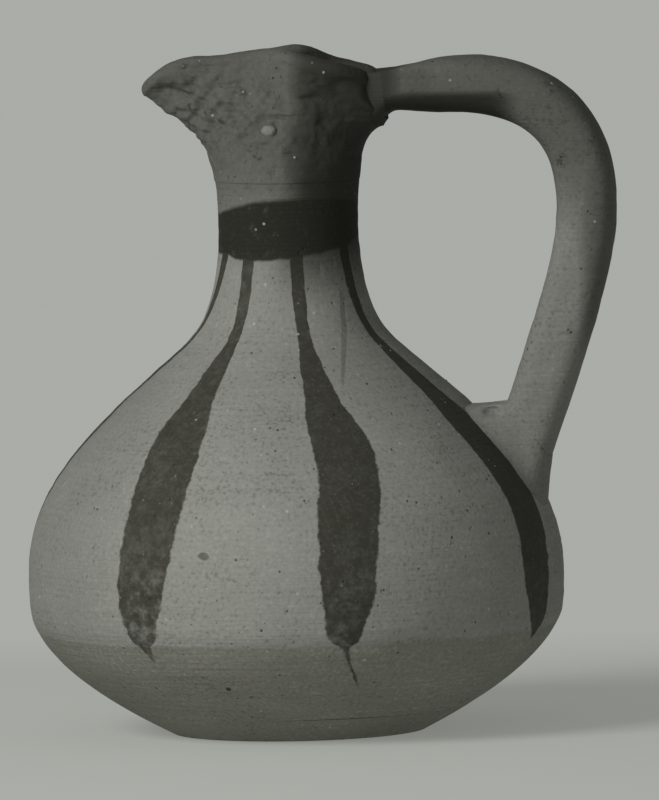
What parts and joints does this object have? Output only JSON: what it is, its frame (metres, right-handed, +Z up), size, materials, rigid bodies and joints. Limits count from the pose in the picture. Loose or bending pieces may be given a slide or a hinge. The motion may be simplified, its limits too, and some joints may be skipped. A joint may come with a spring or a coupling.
{
  "type": "jug",
  "caption": "Fired-clay jug with a low keeled belly, cylindrical neck, mouth pinched into a beaked spout and a tall loop handle from rim to shoulder, for storing and pouring liquid.",
  "frame": {"origin": "centre of the flat underside, on the axis of the thrown body", "axes": "+Z up along the body's axis, +X towards the handle, -X towards the spout"},
  "size_m": [0.1732, 0.1554, 0.1985],
  "materials": {
    "bare_clay": "matt, turned, bare",
    "washed_clay": "matt with a fine wash and dark painted stripes",
    "stone": "matt"
  },
  "bodies": {
    "root": {"base_disc": "bare_clay", "lower_bowl": "bare_clay", "upper_body": "washed_clay", "neck": "washed_clay", "spout_mouth": "washed_clay", "handle": "washed_clay", "rim_wad": "washed_clay", "shoulder_wad": "washed_clay", "tenon_clinch": "bare_clay", "grit_stone": "stone"}
  },
  "joints": []
}
